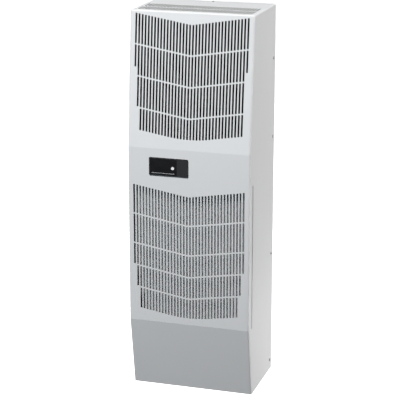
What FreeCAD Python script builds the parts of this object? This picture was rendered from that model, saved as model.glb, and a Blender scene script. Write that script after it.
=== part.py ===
# Enclosure air conditioner, hung by its rear panel on the wall of an equipment cabinet.
# Origin: middle of the mounting holes on the rear plane. +Z is up, the front faces -Y.
# Room air enters the lower grille, passes filter, condenser and fan and leaves above.
# Cabinet air enters the rear inlet ring, passes the evaporator and leaves by the rear outlet.
import FreeCAD, Part
import math
import os
import re
import Sketcher
from FreeCAD import Placement, Rotation, Vector

doc = FreeCAD.newDocument("enclosure_air_conditioner")
sizes = doc.addObject("Spreadsheet::Sheet", "Sizes")
derived = doc.addObject("App::VarSet", "Derived")
holders = {}
pieces = []


# Named sizes and expressions
def derive(name, text, kind="Float"):
    """Add a value worked out from the driving sizes."""
    derived.addProperty(f"App::Property{kind}", name)
    derived.setExpression(name, bound(text))
    holders[name] = "Derived"


def bound(text):
    """Expression with every name tied to the object that holds it."""
    def tie(word):
        name = word.group()
        return f"{holders[name]}.{name}" if name in holders else name
    return re.sub(r"[a-z]\w*", tie, text)


def value(text):
    """Number that an expression stands for."""
    result = derived.evalExpression(bound(text))
    return float(getattr(result, "Value", result))


def above(text):
    """Height above the cabinet's foot."""
    return f"({text}) - height / 2"


def below(text):
    """Distance below the cabinet's top."""
    return f"height / 2 - ({text})"


def ahead(text):
    """Distance in front of the rear plane."""
    return f"-({text})"


def both(text):
    """Range of the same reach on both sides of the middle."""
    return f"-({text})", text


# Solids from primitives
TURNS = {
    "x": Rotation(Vector(0, 1, 0), 90),
    "y": Rotation(Vector(1, 0, 0), -90),
    "z": Rotation(),
}


def tie(item, **texts):
    for name, text in texts.items():
        item.setExpression(name.replace("__", "."), bound(text))
    return item


def block(name, x, y, z):
    """Rectangular block between two values along each axis."""
    item = doc.addObject("Part::Box", name)
    for side, axis, (low, high) in zip(("Length", "Width", "Height"), "xyz", (x, y, z)):
        item.setExpression(side, bound(f"({high}) - ({low})"))
        item.setExpression(f"Placement.Base.{axis}", bound(low))
    return item


def rod(name, axis, radius, span, **centre):
    """Cylinder along an axis, from one value to another."""
    item = doc.addObject("Part::Cylinder", name)
    item.Placement = Placement(Vector(), TURNS[axis])
    low, high = span
    tie(item, Radius=radius, Height=f"({high}) - ({low})")
    for other, text in {**centre, axis: low}.items():
        item.setExpression(f"Placement.Base.{other}", bound(text))
    return item


def join(name, *items):
    item = doc.addObject("Part::MultiFuse", name)
    item.Shapes = list(items)
    return item


def cut(name, base, *tools):
    item = doc.addObject("Part::Cut", name)
    item.Base = base
    item.Tool = tools[0] if len(tools) == 1 else join(name + "_tools", *tools)
    return item


def group(name, *items):
    item = doc.addObject("Part::Compound", name)
    item.Links = list(items)
    return item


def keep(item):
    """Count an object among the pieces that are written out."""
    pieces.append(item)
    return item


# Solids from sketches
def new_body(name, **place):
    body = doc.addObject("PartDesign::Body", name)
    for axis, text in place.items():
        body.setExpression(f"Placement.Base.{axis}", bound(text))
    return body


def origin_of(body, role):
    return next(item for item in body.Origin.OriginFeatures if item.Role == role)


def sketch(body, name, plane, offset="0"):
    """Empty sketch on an origin plane; on XZ_Plane the offset counts towards the front."""
    drawing = body.newObject("Sketcher::SketchObject", name)
    drawing.AttachmentSupport = [(origin_of(body, plane), "")]
    drawing.MapMode = "FlatFace"
    drawing.setExpression("AttachmentOffset.Base.z", bound(offset))
    return drawing


def fix_point(drawing, shape, end, place):
    """Tie a point of the sketch to two expressions."""
    for kind, text in zip(("DistanceX", "DistanceY"), place):
        rule = Sketcher.Constraint(kind, -1, 1, shape, end, value(text))
        index = drawing.addConstraint(rule)
        drawing.setExpression(f"Constraints[{index}]", bound(text))


def outline(drawing, points):
    """Closed outline of straight lines through the points."""
    places = [Vector(value(across), value(up), 0) for across, up in points]
    first = drawing.GeometryCount
    count = len(points)
    for start, end in zip(places, places[1:] + places[:1]):
        drawing.addGeometry(Part.LineSegment(start, end))
    for step in range(count):
        following = first + (step + 1) % count
        drawing.addConstraint(Sketcher.Constraint("Coincident", first + step, 2, following, 1))
    for step, point in enumerate(points):
        fix_point(drawing, first + step, 1, point)
    return drawing


def rectangle(drawing, across, up):
    left, right = across
    low, high = up
    return outline(drawing, [(left, low), (right, low), (right, high), (left, high)])


def circle(drawing, across, up, radius):
    centre = Vector(value(across), value(up), 0)
    index = drawing.addGeometry(Part.Circle(centre, Vector(0, 0, 1), value(radius)))
    fix_point(drawing, index, 3, (across, up))
    rule = drawing.addConstraint(Sketcher.Constraint("Radius", index, value(radius)))
    drawing.setExpression(f"Constraints[{rule}]", bound(radius))
    return drawing


def feature(kind, body, drawing, length, symmetric=False, turned=False):
    item = body.newObject(f"PartDesign::{kind}", drawing.Name + "_" + kind.lower())
    item.Profile = drawing
    item.setExpression("Length", bound(length))
    item.Reversed = turned
    if symmetric:
        item.SideType = "Symmetric"
    return item


def pad(body, drawing, length, **options):
    return feature("Pad", body, drawing, length, **options)


def pocket(body, drawing, length, **options):
    return feature("Pocket", body, drawing, length, **options)


def soften(body, chosen, radius):
    """Round the edges of the body's last feature that the test chooses."""
    doc.recompute()
    base = body.Tip
    names = [f"Edge{n}" for n, edge in enumerate(base.Shape.Edges, 1) if chosen(edge)]
    item = body.newObject("PartDesign::Fillet", base.Name + "_round")
    item.Base = (base, names)
    item.setExpression("Radius", bound(radius))
    return item


def lies_along(edge, axis):
    """Whether a straight edge runs along an axis, given as 0, 1 or 2."""
    if edge.Curve.TypeId != "Part::GeomLine":
        return False
    return abs(edge.Curve.Direction[axis]) > 1 - 1e-6


def vessel(name, radius, tall, shoulder, **place):
    """Upright round vessel with rounded ends."""
    body = new_body(name, **place)
    half = sketch(body, name + "_half", "XZ_Plane")
    rectangle(half, ("0", radius), ("0", tall))
    turned = body.newObject("PartDesign::Revolution", name + "_turned")
    turned.Profile = half
    turned.ReferenceAxis = (half, ["V_Axis"])
    soften(body, lambda edge: edge.Curve.TypeId == "Part::GeomCircle", shoulder)
    return body


# Driving sizes
DRIVING = {
    # Cabinet
    "width": 430,  # cabinet, outside width
    "height": 1325,  # cabinet, outside height
    "depth": 309,  # rear plane to the upright front facet
    "depth_top": 264,  # rear plane to the front edge of the top
    "depth_foot": 267,  # rear plane to the front edge of the foot
    "upper_face": 458,  # height of the upper, leaning facet
    "lower_face": 249,  # height of the lower, leaning facet
    "sheet": 1.5,  # steel sheet thickness
    "bend": 6,  # outside bend radius of the sheet
    # Grilles and vent
    "columns": 36,  # slots side by side in a grille
    "side_margin": 21.7,  # cabinet side to the middle of the first column
    "slot_width": 6.2,  # width of a slot
    "bar_wide": 5,  # steel left between two rows of slots
    "short_share": 0.729,  # length of a short slot as a share of a long one
    "chevron_drop": 31.5,  # fall of a row from the outer column to the middle
    "tip_round": 450,  # radius at the point of the lowest row
    "upper_start": 10.5,  # cabinet top to the upper grille, at the outer column
    "upper_margin": 30,  # point of the upper grille to the lower edge of its facet
    "lower_gap": 37,  # control panel to the lower grille, at the outer column
    "lower_margin": 17.5,  # point of the lower grille to the lower, leaning facet
    "vent_start": 19,  # front edge of the top to the vent slots
    "vent_slot": 60,  # length of a vent slot
    # Control panel
    "panel_reach": 138.5,  # middle of the front to the left edge of the control panel
    "panel_wide": 138.5,  # control panel width
    "panel_tall": 62.5,  # control panel height
    "panel_drop": 30.5,  # upper, leaning facet to the control panel
    "panel_deep": 24,  # control case behind the front sheet
    "panel_lip": 3.5,  # overlap of the control panel on the sheet
    "panel_play": 0.5,  # gap between the control case and the sheet
    "panel_proud": 2.5,  # control panel in front of the sheet
    "panel_round": 4,  # corner radius of the control panel
    "window_wide": 95,  # display window width
    "window_thick": 1.2,  # display window thickness
    "key_radius": 5.5,  # round key radius
    "key_reach": 54.2,  # middle of the front to the key, to the left
    "key_rise": 28.5,  # lower edge of the control panel to the key's axis
    "key_play": 0.3,  # gap round the key
    "key_proud": 1.8,  # key in front of the display window
    "board_thick": 1.6,  # circuit board thickness
    # Filter
    "filter_inset": 34,  # front sheet to the middle of the filter
    "filter_thick": 12,  # filter thickness
    "filter_under": 3,  # lower, leaning facet to the filter's lower edge
    "filter_over": 17,  # head of the lower grille to the filter's upper edge
    "filter_play": 1,  # gap round the filter
    "filter_rim": 12,  # width of the filter frame's rim
    "filter_wall": 1,  # filter frame wall thickness
    "filter_side": 9,  # filter to the left side of the cover
    "guide_lip": 14,  # height of a filter guide's lips
    # Fasteners
    "screw_inset": 24,  # rear plane to the cover screws
    "screw_low": 37,  # cabinet foot to the lowest side screws
    "screw_second": 441,  # cabinet foot to the second side screws
    "screw_drop": 182,  # cabinet top to the highest side screws
    "screw_radius": 2.4,  # cover screw shank radius
    "screw_hole": 2.7,  # cover screw hole radius
    "screw_long": 8,  # cover screw length under the head
    "head_radius": 5,  # cover screw head radius
    "head_tall": 3,  # cover screw head height
    # Rear
    "gasket_thick": 5,  # rear gasket thickness
    "gasket_wide": 14,  # rear gasket width
    "gasket_edge": 3,  # cover to the rear gasket
    "flange": 40,  # depth of the rear panel with its flange
    "relief": 9,  # slanted upper corners of the rear panel and flange
    "bolt_side": 30,  # cabinet side to the mounting holes
    "bolt_end": 82.5,  # cabinet top and foot to the outer mounting holes
    "bolt_inner": 400,  # inner mounting holes, spacing in height
    "bolt_hole": 4.5,  # mounting hole radius
    "nut_bore": 4.1,  # weld nut bore radius
    "nut_round": 7.5,  # weld nut radius over its corners
    "nut_tall": 6.5,  # weld nut height
    "outlet_gap": 25,  # mounting holes to the cold air outlet
    "outlet_tall": 140,  # cold air outlet height
    "outlet_rise": 18,  # floor of the evaporator housing to the cold air outlet
    # Cold box
    "housing_deep": 150,  # rear plane to the front of the evaporator housing
    "housing_side": 10,  # cabinet side to the evaporator housing
    "housing_floor": 412,  # cabinet foot to the evaporator housing
    "housing_gap": 17,  # cabinet top to the evaporator housing
    "liner_thick": 10,  # foam liner thickness
    "evap_rise": 299,  # evaporator, from its lowest corner to its highest
    "evap_gap": 58,  # evaporator to the impeller above it
    "evap_deep": 45,  # evaporator fin depth
    "coil_side": 28.5,  # evaporator housing side to the evaporator fins
    "tray_deep": 60,  # condensate tray depth
    "tray_tall": 28,  # condensate tray height
    "tray_drop": 16,  # evaporator's lowest corner down to the tray's rim
    "tray_side": 5,  # evaporator housing side to the condensate tray
    # Evaporator blower
    "blower_drop": 235,  # cabinet top to the blower axis
    "impeller_radius": 100,  # impeller radius
    "impeller_rear": 26,  # rear plane to the impeller's eye
    "impeller_long": 60,  # blade length along the axis
    "eye_radius": 82,  # impeller eye radius
    "eye_long": 14,  # impeller eye length
    "eye_gap": 2.5,  # inlet ring to the impeller eye
    "plate_thick": 2,  # impeller sheet thickness
    "blade_root": 60,  # impeller blades, inner radius
    "blade_sweep": 36,  # impeller blades, swept angle in degrees
    "blade_bow": 70,  # impeller blades, radius of curvature
    "blade_count": 7,  # impeller blades
    "rotor_radius": 46,  # blower rotor radius
    "rotor_gap": 4,  # rotor to the motor flange
    "motor_flange": 8,  # blower motor flange thickness
    "shaft_radius": 6,  # fan and blower shaft radius
    "shaft_play": 0.06,  # radial clearance on a shaft or a spigot
    # Condenser side
    "coil_gap": 8,  # filter to the condenser fins
    "cond_inset": 14,  # filter edge to the condenser fins, above and below
    "cond_deep": 44,  # condenser fin depth
    "cond_side": 30,  # cabinet side to the condenser fins
    "tube_radius": 4.75,  # coil tube radius
    "row_pitch": 40.5,  # largest spacing of a coil's tube rows
    "duct_deep": 62,  # fan duct depth
    "duct_rise": 6,  # filter's upper edge to the fan duct
    "collar_long": 20,  # fan orifice collar length
    "fan_drop": 285,  # cabinet top to the fan axis
    "fan_radius": 144,  # fan radius
    "fan_gap": 6,  # fan tip to the orifice
    "fan_ahead": 10,  # fan duct to the fan
    "hub_radius": 48,  # fan hub radius
    "hub_long": 36,  # fan hub length
    "vane_count": 5,  # fan blades
    "vane_thick": 3,  # fan blade thickness
    "root_chord": 48,  # fan blade chord at the hub
    "root_pitch": 42,  # fan blade pitch at the hub in degrees
    "tip_chord": 82,  # fan blade chord at the tip
    "tip_pitch": 22,  # fan blade pitch at the tip in degrees
    "arm_wide": 24,  # motor bracket arm width
    "arm_thick": 3,  # motor bracket thickness
    "arm_over": 15,  # motor bracket arm beyond the orifice
    "can_radius": 44,  # fan motor radius
    "can_long": 37,  # fan motor length
    "shaft_end": 8,  # fan hub face to the shaft's end
    # Foot of the cabinet
    "pan_tall": 30,  # base pan rim height
    "pan_gap": 2,  # base pan to the front sheet
    "comp_across": 95,  # middle of the cabinet to the compressor, to the left
    "comp_ahead": 105,  # rear plane to the compressor axis
    "comp_radius": 60,  # compressor radius
    "comp_tall": 235,  # compressor height
    "comp_shoulder": 22,  # compressor end rounding
    "seam_rise": 128,  # compressor foot to its weld seam
    "seam_size": 3,  # weld seam, height and overhang
    "foot_plate": 150,  # compressor plate width
    "foot_thick": 3,  # compressor plate thickness
    "foot_round": 15,  # compressor plate corner radius
    "foot_spread": 58,  # compressor axis to its rubber feet, across and along
    "rubber_radius": 11,  # rubber foot radius
    "rubber_tall": 14,  # rubber foot height
    "nut_radius": 6,  # compressor nut radius
    "nut_high": 5,  # compressor nut height
    "cap_inner": 10,  # compressor axis to its terminal cover
    "cap_wide": 20,  # terminal cover width
    "cap_tall": 18,  # terminal cover height
    "accu_across": 5,  # middle of the cabinet to the accumulator
    "accu_radius": 24,  # accumulator radius
    "accu_tall": 140,  # accumulator height
    "accu_foot": 84,  # cabinet foot to the accumulator
    "accu_shoulder": 10,  # accumulator end rounding
    "elbow_drop": 32,  # accumulator to the elbow's lower run
    "line_radius": 4,  # refrigerant line radius
    "suction_radius": 5,  # suction line radius
    "capillary": 1.5,  # capillary tube radius
    "line_bend": 12,  # refrigerant line bend radius
    "line_side": 12,  # cabinet side to the refrigerant lines
    "capillary_side": 23,  # cabinet side to the capillary tube
    "lines_under": 78,  # evaporator housing to the lines that cross below it
    "drier_radius": 9,  # filter drier radius
    "drier_tall": 110,  # filter drier length
    "drier_drop": 70,  # condenser outlet down to the filter drier
    "can_shoulder": 5,  # end rounding of the filter drier and the run capacitor
    "drain_across": 52,  # middle of the cabinet to the drain
    "drain_ahead": 118,  # rear plane to the drain
    "drain_bore": 5,  # drain bore radius
    "drain_wall": 2,  # drain wall thickness
    "drain_tall": 25,  # drain spout height
    "drain_flange": 12,  # drain spout flange radius
    "hose_rise": 10,  # cabinet foot to the drain hose
    "hose_grip": 15,  # length of the tray's spigot
    "pipe_room": 1,  # gap round a pipe that passes a sheet
    # Electrical box
    "box_inner": 66,  # middle of the cabinet to the electrical box
    "box_gap": 7,  # weld nuts to the electrical box
    "box_deep": 175,  # rear plane to the front of the electrical box
    "box_foot": 38,  # cabinet foot to the electrical box
    "box_tall": 200,  # electrical box height
    "cap_gap": 4,  # electrical box to the run capacitor
    "cap_radius": 20,  # run capacitor radius
    "capacitor_tall": 90,  # run capacitor height
    "block_wide": 60,  # terminal block width
    "block_tall": 24,  # terminal block height
    "block_deep": 30,  # terminal block depth
    "block_step": 8,  # terminal block barrier pitch
    "relay_wide": 45,  # contactor width
    "relay_tall": 60,  # contactor height
    "relay_deep": 55,  # contactor depth
    "gland_rise": 36,  # electrical box roof down to the cable grommet
    "gland_bore": 7,  # cable grommet bore radius
    "gland_neck": 9.9,  # cable grommet neck radius
    "gland_hole": 10,  # cable hole radius
    "gland_flange": 13,  # cable grommet flange radius
    "gland_lip": 2.5,  # cable grommet flange thickness
}
for row, (name, number) in enumerate(DRIVING.items(), 1):
    sizes.set(f"A{row}", name)
    sizes.set(f"B{row}", str(number))
    sizes.setAlias(f"B{row}", name)
    holders[name] = "Sizes"
doc.recompute()

# Derived places and lengths
derive("inner_half", "width / 2 - sheet")
derive("housing_half", "width / 2 - housing_side")
derive("panel_ahead", "gasket_thick + sheet")
derive("panel_foot", "height - upper_face - panel_drop - panel_tall")
derive("lower_start", "panel_foot - lower_gap")
derive("upper_run", "upper_face - upper_start - chevron_drop - upper_margin - 3 * bar_wide")
derive("lower_run", "lower_start - lower_face - lower_margin - chevron_drop - 4 * bar_wide")
derive("upper_slot", "upper_run / (3 + short_share)")
derive("lower_slot", "lower_run / (2 + 3 * short_share)")
derive("bolt_half", "width / 2 - bolt_side")
derive("bolt_rise", "height / 2 - bolt_end")
derive("filter_foot", "lower_face - filter_under")
derive("filter_tall", "lower_start + filter_over - filter_foot")
derive("filter_ahead", "depth - filter_inset")
derive("cond_foot", "filter_foot + cond_inset")
derive("cond_tall", "filter_tall - 2 * cond_inset")
derive("cond_ahead", "filter_ahead - filter_thick / 2 - coil_gap - cond_deep / 2")
derive("cond_half", "width / 2 - cond_side")
derive("cond_rows", "2 * ceil(cond_tall / (2 * row_pitch))")
derive("cond_step", "cond_tall / cond_rows")
derive("evap_half", "housing_half - sheet - coil_side")
derive("evap_ahead", "(panel_ahead + housing_deep - sheet) / 2")
derive("evap_head", "height - blower_drop - impeller_radius - evap_gap")
derive("evap_foot", "evap_head - evap_rise")
derive("evap_room", "housing_deep - sheet - panel_ahead - evap_deep - 4 * sheet")
derive("evap_lean", "asin(evap_room / evap_rise)", "Angle")
derive("evap_tall", "(evap_rise - evap_deep * sin(evap_lean)) / cos(evap_lean)")
derive("evap_rows", "2 * ceil(evap_tall / (2 * row_pitch))")
derive("evap_step", "evap_tall / evap_rows")
derive("evap_level", "(evap_head + evap_foot) / 2 - height / 2")
derive("tray_rim", "evap_foot - tray_drop - height / 2")
derive("tray_floor", "tray_rim - tray_tall")
derive("blower_level", "height / 2 - blower_drop")
derive("blade_rear", "impeller_rear + eye_long + plate_thick")
derive("blade_front", "blade_rear + impeller_long")
derive("flange_ahead", "housing_deep - sheet - motor_flange")
derive("fan_level", "height / 2 - fan_drop")
derive("orifice", "fan_radius + fan_gap")
derive("duct_ahead", "housing_deep + duct_deep")
derive("duct_foot", "filter_foot + filter_tall + duct_rise")
derive("fan_rear", "duct_ahead + fan_ahead")
derive("pan_level", "sheet - height / 2")
derive("plate_level", "pan_level + rubber_tall")
derive("comp_level", "plate_level + foot_thick")
derive("comp_head", "comp_level + comp_tall")
derive("inlet_level", "cond_foot + cond_tall - cond_step / 2 - height / 2")
derive("exit_level", "cond_foot + cond_step / 2 - height / 2")
derive("drier_level", "exit_level - drier_drop - drier_tall")
derive("line_across", "-(width / 2 - line_side)")
derive("line_ahead", "(housing_deep + cond_ahead - cond_deep / 2) / 2")
derive("capillary_ahead", "line_ahead + 3 * line_radius")
derive("outlet_foot", "housing_floor + outlet_rise")
derive("spigot_radius", "drain_bore + drain_wall")
derive("hose_bore", "spigot_radius + shaft_play")
derive("hose_radius", "hose_bore + drain_wall")
derive("box_outer", "bolt_half - nut_round - box_gap")
derive("gland_across", "(box_inner + box_outer) / 2")
derive("gland_level", "box_foot + box_tall - gland_rise - height / 2")
doc.recompute()

FOOT = "-height / 2"
TOP = "height / 2"
SCREW_LEVELS = {
    "first": above("screw_low"),
    "second": above("screw_second"),
    "third": below("upper_face"),
    "fourth": below("screw_drop"),
}
SIDES = ("-", "")


# Front cover: folded shell with three front facets, two sides and a top
def bend_edge(edge):
    """Whether an edge of the cover's block is a bend: an upright front edge or a top edge."""
    places = [vertex.Point for vertex in edge.Vertexes]
    tall = value("height") / 2
    deep = value("depth_top") / 2
    at_top = all(place.z > tall - value("2 * sheet") for place in places)
    at_foot = all(place.z < -tall + value("sheet") for place in places)
    at_rear = all(place.y > -deep for place in places)
    return not at_rear and not at_foot and (at_top or not lies_along(edge, 0))


def cover_block(name, profile, wide, radius):
    body = new_body(name)
    pad(body, outline(sketch(body, name + "_profile", "YZ_Plane"), profile), wide, symmetric=True)
    soften(body, bend_edge, radius)
    return body


UPPER_LEAN = "(depth - depth_top) / upper_face"
LOWER_LEAN = "(depth - depth_foot) / lower_face"
cover = keep(cover_block("front_cover", [
    ("0", FOOT),
    ("-depth_foot", FOOT),
    ("-depth", above("lower_face")),
    ("-depth", below("upper_face")),
    ("-depth_top", TOP),
    ("0", TOP),
], "width", "bend"))
cover_hollow = cover_block("cover_hollow", [
    ("sheet", above("-sheet")),
    (f"sheet - depth_foot + {LOWER_LEAN} * sheet", above("-sheet")),
    ("sheet - depth", above("lower_face")),
    ("sheet - depth", below("upper_face")),
    (f"sheet - depth_top - {UPPER_LEAN} * sheet", below("sheet")),
    ("sheet", below("sheet")),
], "2 * inner_half", "bend - sheet")
cover_shell = cover.newObject("PartDesign::Boolean", "cover_shell")
cover_shell.setObjects([cover_hollow])
cover_shell.Type = "Cut"


# Chevron grilles: rows of upright slots whose bars form a V, with stepped outer columns
class Chevron:
    """The V that the rows of slots follow across the front."""

    def __init__(self):
        self.columns = round(value("columns"))
        self.reach = value("width / 2 - side_margin")
        self.drop = value("chevron_drop")
        self.tip = value("tip_round")
        slope = self.drop / self.reach
        self.tangent = self.tip * slope / math.hypot(1, slope)

    def across(self, column):
        return self.reach * (2 * column / (self.columns - 1) - 1)

    def fall(self, across):
        return self.drop * (1 - abs(across) / self.reach)

    def tip_lift(self, across):
        """How far the rounded point of the lowest row lies above the sharp V."""
        if abs(across) >= self.tangent:
            return 0
        arc = math.sqrt(self.tip ** 2 - across ** 2) - math.sqrt(self.tip ** 2 - self.tangent ** 2)
        return self.fall(across) - self.fall(self.tangent) - arc

    def open_rows(self, column, full, left, right):
        """Rows pierced in a column: fewer in the stepped columns at either side."""
        from_right = self.columns - 1 - column
        if column < len(left):
            return left[column]
        if from_right < len(right):
            return right[from_right]
        return full


chevron = Chevron()


def slot_lines(left, right, low, high):
    corners = [Vector(left, low), Vector(right, low), Vector(right, high), Vector(left, high)]
    return [Part.LineSegment(a, b) for a, b in zip(corners, corners[1:] + corners[:1])]


def grille(name, head, slot, rows, left, right):
    """Pierce one grille; rows is a word of long and short slots, left and right the stepped columns."""
    lines = []
    lengths = {"L": value(slot), "S": value(f"{slot} * short_share")}
    half_slot = value("slot_width") / 2
    for column in range(chevron.columns):
        across = chevron.across(column)
        high = head - chevron.fall(across)
        count = chevron.open_rows(column, len(rows), left, right)
        outermost = column in (0, chevron.columns - 1)
        for row, kind in enumerate(rows[:count]):
            ends_short = outermost and row == count - 1
            length = lengths["S" if ends_short else kind]
            lift = chevron.tip_lift(across) if row == len(rows) - 1 else 0
            lines += slot_lines(across - half_slot, across + half_slot, high - length + lift, high)
            high -= length + value("bar_wide")
    drawing = sketch(cover, name, "XZ_Plane", "depth + sheet")
    drawing.addGeometry(lines)
    pocket(cover, drawing, "depth / 2")


grille("upper_grille", value(below("upper_start")), "upper_slot", "LLLS", (2, 3), (2,))
grille("lower_grille", value(above("lower_start")), "lower_slot", "LLSSS", (3, 4), (3, 4))

# Top vent: two rows of slots that run front to back
vent = sketch(cover, "top_vent", "XY_Plane", "height / 2 + sheet")
for row in range(2):
    front = value("vent_start - depth_top") + row * value("vent_slot + bar_wide")
    rear = front + value("vent_slot")
    for column in range(chevron.columns):
        middle = chevron.across(column)
        half_slot = value("slot_width") / 2
        vent.addGeometry(slot_lines(middle - half_slot, middle + half_slot, front, rear))
pocket(cover, vent, "3 * sheet")

# Cut-outs of the cover: control panel, filter slot and screw holes
panel_hole = rectangle(
    sketch(cover, "control_cutout", "XZ_Plane", "depth + sheet"),
    ("panel_lip - panel_reach", "panel_wide - panel_lip - panel_reach"),
    (above("panel_foot + panel_lip"), above("panel_foot + panel_tall - panel_lip")),
)
pocket(cover, panel_hole, "3 * sheet")
FILTER_ROOM = "filter_thick / 2 + filter_play"
filter_slot = rectangle(
    sketch(cover, "filter_slot", "YZ_Plane", "width / 2 + sheet"),
    (ahead(f"filter_ahead + {FILTER_ROOM}"), ahead(f"filter_ahead - ({FILTER_ROOM})")),
    (above("filter_foot - filter_play"), above("filter_foot + filter_tall + filter_play")),
)
pocket(cover, filter_slot, "3 * sheet")


def side_screw_holes(body, name):
    drawing = sketch(body, name, "YZ_Plane", "width / 2 + sheet")
    for level in SCREW_LEVELS.values():
        circle(drawing, ahead("screw_inset"), level, "screw_hole")
    pocket(body, drawing, "width + 2 * sheet")


def top_screw_hole(body, name):
    drawing = sketch(body, name, "XY_Plane", "height / 2 + sheet")
    circle(drawing, "0", ahead("screw_inset"), "screw_hole")
    pocket(body, drawing, "4 * sheet")


side_screw_holes(cover, "cover_side_holes")
top_screw_hole(cover, "cover_top_hole")

# Cover screws: pan heads on the two sides and one on the top
screws = []
for side in SIDES:
    for order, level in SCREW_LEVELS.items():
        ends = sorted((f"{side}(width / 2 + head_tall)", f"{side}(width / 2)"), key=value)
        deep = sorted((f"{side}(width / 2)", f"{side}(width / 2 - screw_long)"), key=value)
        place = {"y": ahead("screw_inset"), "z": level}
        name = f"{order}_screw_{'left' if side else 'right'}"
        head = rod(name + "_head", "x", "head_radius", ends, **place)
        screws.append(join(name, head, rod(name + "_shank", "x", "screw_radius", deep, **place)))
place = {"x": "0", "y": ahead("screw_inset")}
top_head = rod("screw_top_head", "z", "head_radius", (TOP, "height / 2 + head_tall"), **place)
top_shank = rod("screw_top_shank", "z", "screw_radius", (below("screw_long"), TOP), **place)
screws.append(join("screw_top", top_head, top_shank))
keep(group("cover_screws", *screws))

# Rear panel: flat plate with the cabinet's air openings and the mounting holes
PANEL_TOP = below("sheet")
CORNER = below("sheet + relief")
panel = keep(new_body("rear_panel"))
pad(panel, outline(sketch(panel, "panel_blank", "XZ_Plane", "gasket_thick"), [
    ("-inner_half", FOOT),
    ("inner_half", FOOT),
    ("inner_half", CORNER),
    ("inner_half - relief", PANEL_TOP),
    ("relief - inner_half", PANEL_TOP),
    ("-inner_half", CORNER),
]), "sheet")
rear_holes = sketch(panel, "panel_openings", "XZ_Plane", "panel_ahead + sheet")
circle(rear_holes, "0", "blower_level", "eye_radius - eye_gap - sheet")
OUTLET_Z = (above("outlet_foot"), above("outlet_foot + outlet_tall"))
rectangle(rear_holes, both("bolt_half - outlet_gap"), OUTLET_Z)
circle(rear_holes, "gland_across", "gland_level", "gland_hole")
pocket(panel, rear_holes, "3 * sheet")
BOLTS = [(f"{side}bolt_half", f"{end}{tall}")
         for side in SIDES for end in SIDES for tall in ("bolt_rise", "bolt_inner / 2")]
bolt_holes = sketch(panel, "mounting_holes", "XZ_Plane", "panel_ahead + sheet")
for across, up in BOLTS:
    circle(bolt_holes, across, up, "bolt_hole")
pocket(panel, bolt_holes, "3 * sheet")

# Rear flange: strip folded round both sides and the top, which the cover is screwed to
frame_strip = keep(new_body("rear_flange"))
INNER_CORNER = below("sqrt(2) * sheet + relief")
INNER_REACH = "inner_half - relief - (sqrt(2) - 1) * sheet"
pad(frame_strip, outline(sketch(frame_strip, "flange_section", "XZ_Plane", "panel_ahead"), [
    ("-inner_half", FOOT),
    ("sheet - inner_half", FOOT),
    ("sheet - inner_half", INNER_CORNER),
    (f"-({INNER_REACH})", below("2 * sheet")),
    (INNER_REACH, below("2 * sheet")),
    ("inner_half - sheet", INNER_CORNER),
    ("inner_half - sheet", FOOT),
    ("inner_half", FOOT),
    ("inner_half", CORNER),
    ("inner_half - relief", PANEL_TOP),
    ("relief - inner_half", PANEL_TOP),
    ("-inner_half", CORNER),
]), "flange - sheet")
side_screw_holes(frame_strip, "flange_side_holes")
top_screw_hole(frame_strip, "flange_top_hole")

# Weld nuts behind the mounting holes
nuts = []
NUT_Y = (ahead("panel_ahead + nut_tall"), ahead("panel_ahead"))
for number, (across, up) in enumerate(BOLTS):
    nut = doc.addObject("Part::Prism", f"nut_{number}")
    nut.Polygon = 6
    nut.Placement = Placement(Vector(), TURNS["y"])
    tie(nut, Circumradius="nut_round", Height="nut_tall")
    tie(nut, Placement__Base__x=across, Placement__Base__y=NUT_Y[0], Placement__Base__z=up)
    bore = rod(f"nut_bore_{number}", "y", "nut_bore", NUT_Y, x=across, z=up)
    nuts.append(cut(f"weld_nut_{number}", nut, bore))
keep(group("mounting_nuts", *nuts))

# Rear gasket: foam ring that seals against the wall
gasket = keep(new_body("rear_gasket"))
ring = sketch(gasket, "gasket_ring", "XZ_Plane")
rectangle(ring, both("inner_half - gasket_edge"), (above("gasket_edge"), below("sheet + gasket_edge")))
rectangle(ring, both("inner_half - gasket_edge - gasket_wide"),
          (above("gasket_edge + gasket_wide"), below("sheet + gasket_edge + gasket_wide")))
pad(gasket, ring, "gasket_thick")

# Base pan: shallow tray that carries the compressor
pan = keep(new_body("base_pan"))
PAN_FRONT = ahead("depth_foot - sheet - pan_gap")
pan_blank = sketch(pan, "pan_blank", "XY_Plane", FOOT)
rectangle(pan_blank, both("inner_half - sheet"), (PAN_FRONT, ahead("panel_ahead")))
pad(pan, pan_blank, "pan_tall")
pan_hollow = sketch(pan, "pan_hollow", "XY_Plane", above("pan_tall"))
rectangle(pan_hollow, both("inner_half - 2 * sheet"), (f"{PAN_FRONT} + sheet", ahead("panel_ahead + sheet")))
pocket(pan, pan_hollow, "pan_tall - sheet")
DRAIN = ("drain_across", ahead("drain_ahead"))
pan_drain = sketch(pan, "pan_drain", "XY_Plane", "pan_level + sheet")
circle(pan_drain, *DRAIN, "spigot_radius + pipe_room")
pocket(pan, pan_drain, "3 * sheet")

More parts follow.
